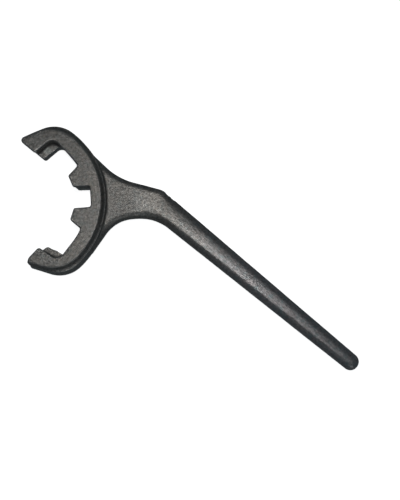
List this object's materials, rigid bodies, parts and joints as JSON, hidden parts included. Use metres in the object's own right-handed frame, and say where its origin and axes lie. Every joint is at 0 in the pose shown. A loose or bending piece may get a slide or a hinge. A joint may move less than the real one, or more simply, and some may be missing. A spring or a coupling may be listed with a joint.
{
  "type": "fire hydrant wrench",
  "caption": "Cast iron hydrant wrench: open ring jaw with lugged hooks, toothed spindle notch and a cranked, tapered bar handle.",
  "frame": {"origin": "jaw centre on the flat back of the head", "axes": "+X along the jaw's axis from the jaw centre to the neck, +Y towards the upper hook, +Z from the flat back towards the raised front plate"},
  "size_m": [0.3265, 0.2676, 0.03],
  "materials": {
    "head_iron": "as-cast dark grey-brown iron, matt, fine grain",
    "bar_iron": "as-cast dark blue-grey iron, matt, fine grain",
    "weld_metal": "ground and painted-over weld, matt grey"
  },
  "bodies": {
    "root": {"jaw_head": "head_iron", "handle_bar": "bar_iron", "neck_weld": "weld_metal"}
  },
  "joints": []
}
